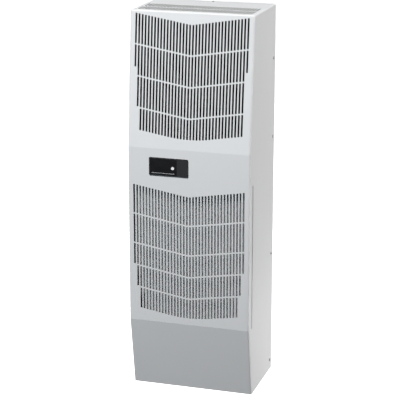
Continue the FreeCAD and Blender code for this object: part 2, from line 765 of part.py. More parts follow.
# Evaporator housing: cold box, open to the rear panel
housing = keep(new_body("evaporator_housing"))
housing_blank = sketch(housing, "housing_blank", "XZ_Plane", "panel_ahead")
rectangle(housing_blank, both("housing_half"), (above("housing_floor"), below("housing_gap")))
pad(housing, housing_blank, "housing_deep - panel_ahead")
housing_hollow = sketch(housing, "housing_hollow", "XZ_Plane", "panel_ahead")
HOLLOW_Z = (above("housing_floor + sheet"), below("housing_gap + sheet"))
rectangle(housing_hollow, both("housing_half - sheet"), HOLLOW_Z)
pocket(housing, housing_hollow, "housing_deep - panel_ahead - sheet", turned=True)
ROW_REACH = "(evap_tall - evap_step) / 2"
ROW_Y = f"{ROW_REACH} * sin(evap_lean)"
ROW_Z = f"{ROW_REACH} * cos(evap_lean)"
EVAP_INLET = (f"-evap_ahead - {ROW_Y}", f"evap_level - {ROW_Z}")
EVAP_OUTLET = (f"-evap_ahead + {ROW_Y}", f"evap_level + {ROW_Z}")
CAPILLARY_X = "capillary_side - width / 2"
capillary_hole = sketch(housing, "capillary_hole", "XZ_Plane", "housing_deep + sheet")
circle(capillary_hole, CAPILLARY_X, EVAP_INLET[1], "capillary + pipe_room")
pocket(housing, capillary_hole, "3 * sheet")
floor_holes = sketch(housing, "housing_floor_holes", "XY_Plane", above("housing_floor + 2 * sheet"))
circle(floor_holes, CAPILLARY_X, EVAP_OUTLET[0], "suction_radius + pipe_room")
circle(floor_holes, *DRAIN, "hose_radius + pipe_room")
pocket(housing, floor_holes, "3 * sheet")

# Foam liner under the roof of the cold box
keep(block("housing_liner", both("housing_half - sheet"),
           (ahead("housing_deep - sheet"), ahead("panel_ahead + nut_tall")),
           (below("housing_gap + sheet + liner_thick"), below("housing_gap + sheet"))))


# Coils: a fin pack with a serpentine of tubes, whose return bends show outside the end plates
def leaning(along, over, lean):
    """Point of a coil's side view, along its height and over its depth, from its middle."""
    y = f"({along}) * sin({lean}) + ({over}) * cos({lean})"
    z = f"({along}) * cos({lean}) - ({over}) * sin({lean})"
    return y, z


def coil_point(centre, along, over, lean):
    y, z = leaning(along, over, lean)
    return f"{centre[0]} + {y}", f"{centre[1]} + {z}"


def fin_pack(name, half, centre, tall, deep, lean):
    corners = [(f"-{tall} / 2", f"-{deep} / 2"), (f"-{tall} / 2", f"{deep} / 2"),
               (f"{tall} / 2", f"{deep} / 2"), (f"{tall} / 2", f"-{deep} / 2")]
    body = new_body(name)
    section = sketch(body, name + "_section", "YZ_Plane")
    outline(section, [coil_point(centre, along, over, lean) for along, over in corners])
    pad(body, section, f"2 * ({half})", symmetric=True)
    return body


def return_bends(name, half, centre, step, rows, lean):
    """Half-ring bends: the rows are joined in pairs, by turns at the right and the left."""
    bends = []
    tilt = value(lean)
    for row in range(round(value(rows)) - 1):
        side = -1 if row % 2 else 1
        along = f"({row} + 1 - {rows} / 2) * {step}"
        y, z = coil_point(centre, along, "0", lean)
        bend = doc.addObject("Part::Torus", f"{name}_{row}")
        bend.Angle3 = 180
        up = Rotation(Vector(1, 0, 0), -tilt).multVec(Vector(0, 0, side))
        out = Vector(side, 0, 0)
        bend.Placement = Placement(Vector(), Rotation(up, out, up.cross(out), "XYZ"))
        tie(bend, Radius1=f"{step} / 2", Radius2="tube_radius")
        x = f"{side} * ({half} + sheet)"
        tie(bend, Placement__Base__x=x, Placement__Base__y=y, Placement__Base__z=z)
        bends.append(bend)
    return group(name, *bends)


COND_CENTRE = ("-cond_ahead", above("cond_foot + cond_tall / 2"))
EVAP_CENTRE = ("-evap_ahead", "evap_level")
keep(fin_pack("condenser_fins", "cond_half", COND_CENTRE, "cond_tall", "cond_deep", "0"))
keep(return_bends("condenser_bends", "cond_half", COND_CENTRE, "cond_step", "cond_rows", "0"))
keep(fin_pack("evaporator_fins", "evap_half", EVAP_CENTRE, "evap_tall", "evap_deep", "evap_lean"))
keep(return_bends("evaporator_bends", "evap_half", EVAP_CENTRE, "evap_step", "evap_rows", "evap_lean"))


# End plates of the coils
def end_plates(name, half, points):
    """Two sheet plates of the same outline against the ends of a fin pack."""
    plates = []
    for side, start in (("left", f"-({half} + sheet)"), ("right", half)):
        body = new_body(f"{name}_{side}")
        pad(body, outline(sketch(body, f"{name}_{side}_outline", "YZ_Plane", start), points), "sheet")
        plates.append(body)
    return group(name, *plates)


# Condenser end plates: they reach back to the cold box and close the sides of the air path
COIL_FRONT = ahead("cond_ahead + cond_deep / 2")
COIL_REAR = ahead("cond_ahead - cond_deep / 2")
keep(end_plates("condenser_plates", "cond_half", [
    (COIL_FRONT, above("cond_foot")),
    (COIL_REAR, above("cond_foot")),
    (COIL_REAR, above("housing_floor")),
    (ahead("housing_deep"), above("housing_floor")),
    (ahead("housing_deep"), above("cond_foot + cond_tall")),
    (COIL_FRONT, above("cond_foot + cond_tall")),
]))

# Evaporator end plates: they stand in the condensate tray
corners = [coil_point(EVAP_CENTRE, f"{along}evap_tall / 2", f"{over}evap_deep / 2", "evap_lean")
           for along, over in (("-", ""), ("", ""), ("", "-"), ("-", "-"))]
feet = [(corners[3][0], "tray_floor + sheet"), (corners[0][0], "tray_floor + sheet")]
keep(end_plates("evaporator_plates", "evap_half", corners + feet))

# Condensate tray on the front wall of the cold box
tray = keep(new_body("condensate_tray"))
TRAY_REAR = ahead("housing_deep - sheet - tray_deep")
TRAY_HALF = "housing_half - sheet - tray_side"
tray_blank = sketch(tray, "tray_blank", "XY_Plane", "tray_floor")
rectangle(tray_blank, both(TRAY_HALF), (ahead("housing_deep - sheet"), TRAY_REAR))
pad(tray, tray_blank, "tray_tall")
tray_hollow = sketch(tray, "tray_hollow", "XY_Plane", "tray_rim")
TRAY_INSIDE = (ahead("housing_deep - 2 * sheet"), f"{TRAY_REAR} - sheet")
rectangle(tray_hollow, both(f"{TRAY_HALF} - sheet"), TRAY_INSIDE)
pocket(tray, tray_hollow, "tray_tall - sheet")
tray_spigot = circle(sketch(tray, "tray_spigot", "XY_Plane", "tray_floor"), *DRAIN, "spigot_radius")
pad(tray, tray_spigot, "hose_grip", turned=True)
tray_drain = circle(sketch(tray, "tray_drain", "XY_Plane", "tray_floor + 2 * sheet"), *DRAIN, "drain_bore")
pocket(tray, tray_drain, "hose_grip + 3 * sheet")

# Drain: hose from the tray's spigot to a flanged spout in the base pan
place = {"x": DRAIN[0], "y": DRAIN[1]}
HOSE = (above("hose_rise"), "tray_floor")
keep(cut("drain_hose", rod("hose_outside", "z", "hose_radius", HOSE, **place),
         rod("hose_inside", "z", "hose_bore", HOSE, **place)))
SPOUT = (FOOT, above("drain_tall"))
SPOUT_FLANGE = ("pan_level", "pan_level + 2 * sheet")
spout_outside = join("spout_outside", rod("spout_tube", "z", "spigot_radius", SPOUT, **place),
                     rod("spout_flange", "z", "drain_flange", SPOUT_FLANGE, **place))
keep(cut("drain_spout", spout_outside, rod("spout_bore", "z", "drain_bore", SPOUT, **place)))

# Blower inlet ring on the rear panel
ring_place = {"x": "0", "z": "blower_level"}
RING_FLANGE = (ahead("panel_ahead + sheet"), ahead("panel_ahead"))
THROAT = (ahead("impeller_rear + 2 * sheet"), ahead("panel_ahead"))
ring_flange = rod("ring_flange", "y", "eye_radius + eye_long", RING_FLANGE, **ring_place)
ring_throat = rod("ring_throat", "y", "eye_radius - eye_gap", THROAT, **ring_place)
ring_bore = rod("ring_bore", "y", "eye_radius - eye_gap - sheet", THROAT, **ring_place)
keep(cut("inlet_ring", join("ring_outside", ring_flange, ring_throat), ring_bore))

# Impeller shroud: ring with a collar that runs round the inlet ring's throat
shroud = keep(new_body("impeller_shroud", z="blower_level"))
half = sketch(shroud, "shroud_half", "XY_Plane")
outline(half, [
    ("eye_radius", ahead("impeller_rear")),
    ("eye_radius + plate_thick", ahead("impeller_rear")),
    ("eye_radius + plate_thick", ahead("impeller_rear + eye_long")),
    ("impeller_radius", ahead("impeller_rear + eye_long")),
    ("impeller_radius", ahead("blade_rear")),
    ("eye_radius", ahead("blade_rear")),
])
spun = shroud.newObject("PartDesign::Revolution", "shroud_spun")
spun.Profile = half
spun.ReferenceAxis = (half, ["V_Axis"])

# Evaporator impeller: wheel with backward-curved blades on its motor's rotor
impeller = keep(new_body("evaporator_impeller", z="blower_level"))
wheel = circle(sketch(impeller, "impeller_plate", "XZ_Plane", "blade_front"), "0", "0", "impeller_radius")
pad(impeller, wheel, "plate_thick")
rotor = circle(sketch(impeller, "impeller_rotor", "XZ_Plane", "blade_front"), "0", "0", "rotor_radius")
pad(impeller, rotor, "flange_ahead - rotor_gap - blade_front")


def blade_outline(drawing):
    """Curved strip from the blade's inner radius out to the rim, swept back."""
    sweep = math.radians(value("blade_sweep"))
    inner = Vector(value("blade_root"), 0, 0)
    outer = Vector(math.cos(sweep), -math.sin(sweep), 0) * value("impeller_radius - plate_thick")
    chord = outer - inner
    bow = value("blade_bow")
    across = Vector(chord.y, -chord.x, 0).normalize()
    centre = (inner + outer) * 0.5 + across * math.sqrt(bow ** 2 - (chord.Length / 2) ** 2)
    spread = math.asin(chord.Length / 2 / bow)
    facing = math.atan2(-across.y, -across.x)
    start, end = facing - spread, facing + spread
    half = value("plate_thick") / 2
    ends = {}
    for radius in (bow - half, bow + half):
        round_edge = Part.Circle(centre, Vector(0, 0, 1), radius)
        drawing.addGeometry(Part.ArcOfCircle(round_edge, start, end))
        for angle in (start, end):
            ends[radius, angle] = centre + Vector(math.cos(angle), math.sin(angle), 0) * radius
    for angle in (start, end):
        drawing.addGeometry(Part.LineSegment(ends[bow - half, angle], ends[bow + half, angle]))
    return drawing


blade = pad(impeller, blade_outline(sketch(impeller, "impeller_blade", "XZ_Plane", "blade_rear")),
            "impeller_long + plate_thick / 2")


def around(body, item, count):
    """Repeat a feature evenly about the body's own front-to-back axis."""
    pattern = body.newObject("PartDesign::PolarPattern", item.Name + "_ring")
    pattern.Originals = [item]
    pattern.Axis = (origin_of(body, "Y_Axis"), [""])
    pattern.Angle = 360
    pattern.setExpression("Occurrences", bound(f"round({count})"))
    body.Tip = pattern
    return pattern


around(impeller, blade, "blade_count")
impeller_bore = sketch(impeller, "impeller_bore", "XZ_Plane", "flange_ahead")
circle(impeller_bore, "0", "0", "shaft_radius + shaft_play")
pocket(impeller, impeller_bore, "flange_ahead - blade_front + plate_thick")

# Blower motor: flange on the housing's front wall, with the shaft that the rotor turns on
blower_place = {"x": "0", "z": "blower_level"}
BLOWER_FLANGE = (ahead("housing_deep - sheet"), ahead("flange_ahead"))
BLOWER_SHAFT = (ahead("flange_ahead"), ahead("blade_front"))
keep(join("blower_motor",
          rod("blower_flange", "y", "rotor_radius", BLOWER_FLANGE, **blower_place),
          rod("blower_shaft", "y", "shaft_radius", BLOWER_SHAFT, **blower_place)))

# Fan duct: hood on the cold box's front wall, open at the foot, with a collared orifice
duct = keep(new_body("fan_duct"))
duct_blank = sketch(duct, "duct_blank", "XZ_Plane", "housing_deep")
rectangle(duct_blank, both("housing_half"), (above("duct_foot"), below("housing_gap")))
pad(duct, duct_blank, "duct_deep")
duct_hollow = sketch(duct, "duct_hollow", "XZ_Plane", "housing_deep")
DUCT_INSIDE = (above("duct_foot - sheet"), below("housing_gap + sheet"))
rectangle(duct_hollow, both("housing_half - sheet"), DUCT_INSIDE)
pocket(duct, duct_hollow, "duct_deep - sheet", turned=True)
collar = sketch(duct, "duct_collar", "XZ_Plane", "duct_ahead - sheet")
circle(collar, "0", "fan_level", "orifice + sheet")
pad(duct, collar, "collar_long + sheet")
duct_orifice = sketch(duct, "duct_orifice", "XZ_Plane", "duct_ahead + collar_long + sheet")
circle(duct_orifice, "0", "fan_level", "orifice")
pocket(duct, duct_orifice, "collar_long + 3 * sheet")

# Motor bracket: cross behind the orifice
bracket = keep(new_body("fan_bracket", z="fan_level"))
ARM = "orifice + arm_over"
HALF_ARM = "arm_wide / 2"
cross = sketch(bracket, "bracket_cross", "XZ_Plane", "duct_ahead - sheet")
outline(cross, [
    (HALF_ARM, HALF_ARM), (ARM, HALF_ARM), (ARM, f"-{HALF_ARM}"), (HALF_ARM, f"-{HALF_ARM}"),
    (HALF_ARM, f"-({ARM})"), (f"-{HALF_ARM}", f"-({ARM})"), (f"-{HALF_ARM}", f"-{HALF_ARM}"),
    (f"-({ARM})", f"-{HALF_ARM}"), (f"-({ARM})", HALF_ARM), (f"-{HALF_ARM}", HALF_ARM),
    (f"-{HALF_ARM}", ARM), (HALF_ARM, ARM),
])
pad(bracket, cross, "arm_thick", turned=True)
bracket_hole = sketch(bracket, "bracket_hole", "XZ_Plane", "duct_ahead")
circle(bracket_hole, "0", "0", "shaft_radius + pipe_room")
pocket(bracket, bracket_hole, "2 * (arm_thick + sheet)")

# Fan motor on the bracket, with the shaft that the fan turns on
fan_place = {"x": "0", "z": "fan_level"}
CAN_FRONT = "duct_ahead - sheet - arm_thick"
CAN = (ahead(CAN_FRONT), ahead(f"{CAN_FRONT} - can_long"))
FAN_SHAFT = (ahead("fan_rear + hub_long - shaft_end"), ahead(CAN_FRONT))
keep(join("fan_motor",
          rod("motor_can", "y", "can_radius", CAN, **fan_place),
          rod("motor_shaft", "y", "shaft_radius", FAN_SHAFT, **fan_place)))

# Condenser fan: hub with twisted blades
fan = keep(new_body("condenser_fan", z="fan_level"))
pad(fan, circle(sketch(fan, "fan_hub", "XZ_Plane", "fan_rear"), "0", "0", "hub_radius"), "hub_long")


def vane_section(name, reach, chord, pitch):
    """Slanted thin section of a blade, at a distance from the fan's axis."""
    section = sketch(fan, name, "YZ_Plane", reach)
    middle = "-(fan_rear + hub_long / 2)"
    corners = []
    for along, over in (("-", "-"), ("", "-"), ("", ""), ("-", "")):
        y, z = leaning(f"{along}{chord} / 2", f"{over}vane_thick / 2", pitch)
        corners.append((f"{middle} + {y}", z))
    return outline(section, corners)


vane = fan.newObject("PartDesign::AdditiveLoft", "fan_vane")
vane.Profile = vane_section("vane_root", "hub_radius - 2 * vane_thick", "root_chord", "root_pitch")
TIP_REACH = "sqrt(fan_radius ^ 2 - (tip_chord / 2) ^ 2)"
vane.Sections = [vane_section("vane_tip", TIP_REACH, "tip_chord", "tip_pitch")]
vane.Ruled = True
around(fan, vane, "vane_count")
fan_bore = sketch(fan, "fan_bore", "XZ_Plane", "fan_rear + hub_long - shaft_end / 2")
circle(fan_bore, "0", "0", "shaft_radius + shaft_play")
pocket(fan, fan_bore, "hub_long")

# Air filter: channel frame round a metal mesh pad
FILTER_X = ("filter_side - inner_half", "width / 2 - filter_play")
FILTER_Y = (ahead("filter_ahead + filter_thick / 2"), ahead("filter_ahead - filter_thick / 2"))
FILTER_Z = (above("filter_foot"), above("filter_foot + filter_tall"))


def inset(span, by):
    low, high = span
    return f"{low} + ({by})", f"{high} - ({by})"


frame = keep(new_body("filter_frame"))
frame_blank = rectangle(sketch(frame, "frame_blank", "XZ_Plane", "filter_ahead"), FILTER_X, FILTER_Z)
pad(frame, frame_blank, "filter_thick", symmetric=True)
frame_opening = sketch(frame, "frame_opening", "XZ_Plane", "filter_ahead")
rectangle(frame_opening, inset(FILTER_X, "filter_rim"), inset(FILTER_Z, "filter_rim"))
pocket(frame, frame_opening, "2 * filter_thick", symmetric=True)
frame_channel = sketch(frame, "frame_channel", "XZ_Plane", "filter_ahead")
rectangle(frame_channel, inset(FILTER_X, "filter_wall"), inset(FILTER_Z, "filter_wall"))
pocket(frame, frame_channel, "filter_thick - 2 * filter_wall", symmetric=True)
keep(block("filter_mesh", *(inset(span, "filter_wall") for span in (FILTER_X, FILTER_Y, FILTER_Z))))


# Filter guides: channels across the cover, above and below the filter
def filter_guide(name, base, lip):
    """Channel with its web beyond the filter and two lips beside it; base and lip are heights."""
    front = f"-filter_ahead - ({FILTER_ROOM})"
    rear = f"-filter_ahead + ({FILTER_ROOM})"
    web = f"{base[0]} {base[1]} sheet"
    body = new_body(name)
    section = outline(sketch(body, name + "_section", "YZ_Plane"), [
        (f"{front} - sheet", web), (f"{rear} + sheet", web), (f"{rear} + sheet", lip),
        (rear, lip), (rear, base[0]), (front, base[0]), (front, lip), (f"{front} - sheet", lip),
    ])
    pad(body, section, "2 * inner_half", symmetric=True)
    return body


keep(filter_guide("filter_guide_lower", (above("filter_foot - filter_play"), "-"),
                  above("filter_foot + guide_lip")))
keep(filter_guide("filter_guide_upper", (above("filter_foot + filter_tall + filter_play"), "+"),
                  above("filter_foot + filter_tall - guide_lip")))

# Control bezel: flanged case in the front sheet, open at the rear
bezel = keep(new_body("control_bezel"))
PANEL_X = ("-panel_reach", "panel_wide - panel_reach")
PANEL_Z = (above("panel_foot"), above("panel_foot + panel_tall"))
CASE = "panel_lip + panel_play"
WINDOW_X = ("panel_lip - panel_reach", "panel_lip + window_wide - panel_reach")
WINDOW_Z = inset(PANEL_Z, "panel_lip")
KEY = ("-key_reach", above("panel_foot + key_rise"))
PANEL_FRONT = "depth + panel_proud"
bezel_flange = rectangle(sketch(bezel, "bezel_flange", "XZ_Plane", "depth"), PANEL_X, PANEL_Z)
pad(bezel, bezel_flange, "panel_proud")
soften(bezel, lambda edge: lies_along(edge, 1), "panel_round")
bezel_case = sketch(bezel, "bezel_case", "XZ_Plane", "depth")
rectangle(bezel_case, inset(PANEL_X, CASE), inset(PANEL_Z, CASE))
pad(bezel, bezel_case, "panel_deep", turned=True)
bezel_hollow = sketch(bezel, "bezel_hollow", "XZ_Plane", "depth - panel_deep")
HOLLOW = f"{CASE} + sheet"
rectangle(bezel_hollow, inset(PANEL_X, HOLLOW), inset(PANEL_Z, HOLLOW))
pocket(bezel, bezel_hollow, "panel_deep - sheet", turned=True)
window_seat = rectangle(sketch(bezel, "window_seat", "XZ_Plane", PANEL_FRONT), WINDOW_X, WINDOW_Z)
pocket(bezel, window_seat, "window_thick")
display_opening = sketch(bezel, "display_opening", "XZ_Plane", PANEL_FRONT)
DISPLAY_X = ("3 * panel_lip - panel_reach", "-key_reach - 3 * key_radius")
rectangle(display_opening, DISPLAY_X, inset(WINDOW_Z, "2 * panel_lip"))
pocket(bezel, display_opening, "panel_deep / 2")
KEY_HOLE = "key_radius + key_play"
bezel_key_hole = circle(sketch(bezel, "bezel_key_hole", "XZ_Plane", PANEL_FRONT), *KEY, KEY_HOLE)
pocket(bezel, bezel_key_hole, "panel_deep / 2")

# Display window: smoked plate in the bezel, pierced for the key
window = keep(new_body("display_window"))
window_plate = rectangle(sketch(window, "window_plate", "XZ_Plane", PANEL_FRONT), WINDOW_X, WINDOW_Z)
pad(window, window_plate, "window_thick", turned=True)
window_key_hole = sketch(window, "window_key_hole", "XZ_Plane", f"{PANEL_FRONT} + sheet")
circle(window_key_hole, *KEY, KEY_HOLE)
pocket(window, window_key_hole, "panel_proud + sheet")

# Round key, guided by the bezel
key = keep(new_body("control_key"))
pad(key, circle(sketch(key, "key_stem", "XZ_Plane", "depth - 2 * sheet"), *KEY, "key_radius"),
    "2 * sheet + panel_proud + key_proud")
soften(key, lambda edge: edge.BoundBox.YMax < -value(PANEL_FRONT), "key_proud / 2")

# Control board across the rear of the bezel's case
BOARD_Y = (ahead("depth - panel_deep + board_thick"), ahead("depth - panel_deep"))
keep(block("control_board", inset(PANEL_X, HOLLOW), BOARD_Y, inset(PANEL_Z, HOLLOW)))

# Compressor on its plate and rubber feet
COMP_Y = ahead("comp_ahead")
compressor = keep(vessel("compressor", "comp_radius", "comp_tall", "comp_shoulder",
                         x="-comp_across", y=COMP_Y, z="comp_level"))
seam = sketch(compressor, "compressor_seam", "XY_Plane", "seam_rise")
circle(seam, "0", "0", "comp_radius + seam_size")
pad(compressor, seam, "seam_size")
foot_plate = keep(new_body("compressor_plate", x="-comp_across", y=COMP_Y, z="plate_level"))
plate_outline = sketch(foot_plate, "plate_outline", "XY_Plane")
rectangle(plate_outline, both("foot_plate / 2"), both("foot_plate / 2"))
pad(foot_plate, plate_outline, "foot_thick")
soften(foot_plate, lambda edge: lies_along(edge, 2), "foot_round")
feet = []
foot_nuts = []
FOOT_NUT = ("comp_level", "comp_level + nut_high")
for number, (across, along) in enumerate((a, b) for a in ("-", "+") for b in ("-", "+")):
    place = {"x": f"-comp_across {across} foot_spread", "y": f"-comp_ahead {along} foot_spread"}
    feet.append(rod(f"rubber_{number}", "z", "rubber_radius", ("pan_level", "plate_level"), **place))
    foot_nuts.append(rod(f"foot_nut_{number}", "z", "nut_radius", FOOT_NUT, **place))
keep(group("compressor_feet", *feet))
keep(group("compressor_nuts", *foot_nuts))
keep(block("terminal_cover", ("cap_inner - comp_across", "cap_inner + cap_wide - comp_across"),
           (f"{COMP_Y} - cap_wide / 2", f"{COMP_Y} + cap_wide / 2"), ("comp_head", "comp_head + cap_tall")))
keep(vessel("accumulator", "accu_radius", "accu_tall", "accu_shoulder",
            x="accu_across", y=COMP_Y, z=above("accu_foot")))


# Refrigerant lines: straight runs joined by bends
def route(points, radius):
    """Wire through the points with a tangent arc at each corner."""
    edges = []
    start = points[0]
    for before, corner, after in zip(points, points[1:], points[2:]):
        arrive = (corner - before).normalize()
        leave = (after - corner).normalize()
        half_turn = arrive.getAngle(leave) / 2
        first = corner - arrive * radius * math.tan(half_turn)
        last = corner + leave * radius * math.tan(half_turn)
        inward = (leave - arrive).normalize()
        middle = corner + inward * (radius / math.cos(half_turn) - radius)
        edges.append(Part.LineSegment(start, first).toShape())
        edges.append(Part.Arc(first, middle, last).toShape())
        start = last
    edges.append(Part.LineSegment(start, points[-1]).toShape())
    return Part.Wire(edges)


def line(name, radius, corners):
    points = [Vector(*(value(text) for text in corner)) for corner in corners]
    path = route(points, value("line_bend"))
    section = Part.Wire(Part.Circle(points[0], points[1] - points[0], value(radius)).toShape())
    item = doc.addObject("Part::Feature", name)
    item.Shape = path.makePipeShell([section], True, False)
    return keep(item)


COND_END = "-(cond_half + sheet)"
EVAP_END = "-(evap_half + sheet)"
UNDER = above("housing_floor - lines_under")
ACCU_HEAD = above("accu_foot + accu_tall")
ELBOW = above("accu_foot - elbow_drop")
line("discharge_line", "line_radius", [
    ("-comp_across", COMP_Y, "comp_head"),
    ("-comp_across", COMP_Y, UNDER),
    ("-comp_across", ahead("line_ahead"), UNDER),
    ("line_across", ahead("line_ahead"), UNDER),
    ("line_across", ahead("line_ahead"), "inlet_level"),
    ("line_across", "-cond_ahead", "inlet_level"),
    (COND_END, "-cond_ahead", "inlet_level"),
])
line("liquid_line", "line_radius", [
    (COND_END, "-cond_ahead", "exit_level"),
    ("line_across", "-cond_ahead", "exit_level"),
    ("line_across", "-cond_ahead", "drier_level + drier_tall"),
])
keep(vessel("filter_drier", "drier_radius", "drier_tall", "can_shoulder",
            x="line_across", y="-cond_ahead", z="drier_level"))
line("capillary_tube", "capillary", [
    ("line_across", "-cond_ahead", "drier_level"),
    ("line_across", "-cond_ahead", "drier_level - 2 * line_bend"),
    (CAPILLARY_X, ahead("capillary_ahead"), "drier_level - 2 * line_bend"),
    (CAPILLARY_X, ahead("capillary_ahead"), EVAP_INLET[1]),
    (CAPILLARY_X, *EVAP_INLET),
    (EVAP_END, *EVAP_INLET),
])
line("suction_line", "suction_radius", [
    (EVAP_END, *EVAP_OUTLET),
    (CAPILLARY_X, *EVAP_OUTLET),
    (CAPILLARY_X, EVAP_OUTLET[0], UNDER),
    ("accu_across", EVAP_OUTLET[0], UNDER),
    ("accu_across", COMP_Y, UNDER),
    ("accu_across", COMP_Y, ACCU_HEAD),
])
line("suction_elbow", "suction_radius", [
    ("accu_across", COMP_Y, above("accu_foot")),
    ("accu_across", COMP_Y, ELBOW),
    ("comp_radius - comp_across", COMP_Y, ELBOW),
])

# Electrical box on the rear panel, with its lid
BOX_X = ("box_inner", "box_outer")
BOX_Z = (above("box_foot"), above("box_foot + box_tall"))
box = keep(new_body("electrical_box"))
box_blank = rectangle(sketch(box, "box_blank", "XZ_Plane", "panel_ahead"), BOX_X, BOX_Z)
pad(box, box_blank, "box_deep - panel_ahead")
box_hollow = sketch(box, "box_hollow", "XZ_Plane", "box_deep")
rectangle(box_hollow, inset(BOX_X, "sheet"), inset(BOX_Z, "sheet"))
pocket(box, box_hollow, "box_deep - panel_ahead - sheet")
box_cable_hole = sketch(box, "box_cable_hole", "XZ_Plane", "panel_ahead + 2 * sheet")
circle(box_cable_hole, "gland_across", "gland_level", "gland_hole")
pocket(box, box_cable_hole, "3 * sheet")
keep(block("electrical_lid", BOX_X, (ahead("box_deep + sheet"), ahead("box_deep")), BOX_Z))

# Parts in the electrical box: run capacitor, terminal block and contactor
BOX_FLOOR = above("box_foot + sheet")
BOX_REAR = ahead("panel_ahead + sheet")
keep(vessel("run_capacitor", "cap_radius", "capacitor_tall", "can_shoulder",
            x="box_outer - sheet - cap_gap - cap_radius", y=ahead("box_deep - 2 * cap_radius"), z=BOX_FLOOR))
BLOCK_LEFT = "box_inner + 2 * sheet"
BLOCK_LOW = f"{BOX_FLOOR} + block_tall"
BLOCK_HIGH = f"{BOX_FLOOR} + 2 * block_tall"
RELAY_LOW = f"{BOX_FLOOR} + 3 * block_tall"
terminals = keep(new_body("terminal_block"))
terminal_blank = sketch(terminals, "terminal_blank", "XZ_Plane", "panel_ahead + sheet")
rectangle(terminal_blank, (BLOCK_LEFT, f"{BLOCK_LEFT} + block_wide"), (BLOCK_LOW, BLOCK_HIGH))
pad(terminals, terminal_blank, "block_deep")
gaps = sketch(terminals, "terminal_gaps", "XZ_Plane", "panel_ahead + sheet + block_deep")
for number in range(int(value("block_wide / block_step")) - 1):
    left = f"{BLOCK_LEFT} + ({number} + 0.75) * block_step"
    rectangle(gaps, (left, f"{left} + block_step / 2"), (f"{BLOCK_LOW} - sheet", f"{BLOCK_HIGH} + sheet"))
pocket(terminals, gaps, "block_deep / 2")
keep(block("contactor", (BLOCK_LEFT, f"{BLOCK_LEFT} + relay_wide"), (f"{BOX_REAR} - relay_deep", BOX_REAR),
           (RELAY_LOW, f"{RELAY_LOW} + relay_tall")))

# Cable grommet through the rear panel and the box
gland_place = {"x": "gland_across", "z": "gland_level"}
GLAND = (ahead("panel_ahead + sheet + gland_lip"), ahead("gasket_thick - gland_lip"))
gland_outside = join("gland_outside",
                     rod("gland_neck_rod", "y", "gland_neck", GLAND, **gland_place),
                     rod("gland_front", "y", "gland_flange", (GLAND[0], BOX_REAR), **gland_place),
                     rod("gland_rear", "y", "gland_flange", (ahead("gasket_thick"), GLAND[1]), **gland_place))
keep(cut("cable_grommet", gland_outside, rod("gland_bore_rod", "y", "gland_bore", GLAND, **gland_place)))


# Check everything, then write one file per piece
def check():
    doc.recompute()
    for item in doc.Objects:
        if {"Invalid", "Error"} & set(item.State):
            raise RuntimeError(f"{item.Name} failed: {item.State}")
        if item.TypeId == "PartDesign::Pocket":
            if item.Shape.Volume > item.BaseFeature.Shape.Volume - 1e-3:
                raise RuntimeError(f"{item.Name} cuts nothing")
    for piece in pieces:
        if piece.Shape.isNull() or not piece.Shape.isValid() or not piece.Shape.Solids:
            raise RuntimeError(f"{piece.Label} has no sound shape")


check()
os.makedirs("parts", exist_ok=True)
for piece in pieces:
    piece.Shape.exportStep(f"parts/{piece.Label}.step")
print(f"{len(pieces)} pieces written")
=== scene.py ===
import math

import bmesh
import bpy
from mathutils import Matrix, Vector


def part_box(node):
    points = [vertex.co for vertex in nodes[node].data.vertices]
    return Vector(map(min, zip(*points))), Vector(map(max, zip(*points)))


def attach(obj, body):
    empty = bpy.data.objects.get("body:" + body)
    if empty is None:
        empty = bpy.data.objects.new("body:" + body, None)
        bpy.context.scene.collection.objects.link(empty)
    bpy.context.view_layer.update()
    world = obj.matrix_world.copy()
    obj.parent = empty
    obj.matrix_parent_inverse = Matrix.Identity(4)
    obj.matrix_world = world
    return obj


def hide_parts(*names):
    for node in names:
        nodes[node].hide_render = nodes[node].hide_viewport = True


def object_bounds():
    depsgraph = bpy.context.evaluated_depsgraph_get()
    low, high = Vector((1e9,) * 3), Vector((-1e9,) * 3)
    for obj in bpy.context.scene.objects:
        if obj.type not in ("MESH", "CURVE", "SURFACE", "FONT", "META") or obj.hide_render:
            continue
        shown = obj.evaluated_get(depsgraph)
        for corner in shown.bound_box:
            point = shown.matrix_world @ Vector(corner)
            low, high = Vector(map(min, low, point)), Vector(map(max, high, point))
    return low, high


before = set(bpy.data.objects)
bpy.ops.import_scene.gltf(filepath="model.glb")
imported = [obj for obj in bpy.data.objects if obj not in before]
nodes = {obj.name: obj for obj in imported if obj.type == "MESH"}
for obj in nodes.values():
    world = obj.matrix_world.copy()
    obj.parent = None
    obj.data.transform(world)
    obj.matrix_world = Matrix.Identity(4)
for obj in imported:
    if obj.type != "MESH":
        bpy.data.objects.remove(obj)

cadLow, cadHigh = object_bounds()  # the CAD box, whose foot sets the floor height
scene = bpy.context.scene
quarterTurn = math.radians(90)
samePlane = 0.0001  # points this near to a plane lie on it
print("frame loaded:", len(nodes), "nodes")


# shader maths: a wire is one socket, and sums on wires add Math nodes
class Wire:
    def __init__(self, tree, socket):
        self.tree = tree
        self.socket = socket

    def sum(self, operation, first, second):
        node = self.tree.node("ShaderNodeMath", {"operation": operation}, {0: first, 1: second})
        return Wire(self.tree, node.outputs[0])

    def __add__(self, other):
        return self.sum("ADD", self, other)

    def __radd__(self, other):
        return self.sum("ADD", other, self)

    def __mul__(self, other):
        return self.sum("MULTIPLY", self, other)

    def __rmul__(self, other):
        return self.sum("MULTIPLY", other, self)

    def __gt__(self, other):
        return self.sum("GREATER_THAN", self, other)


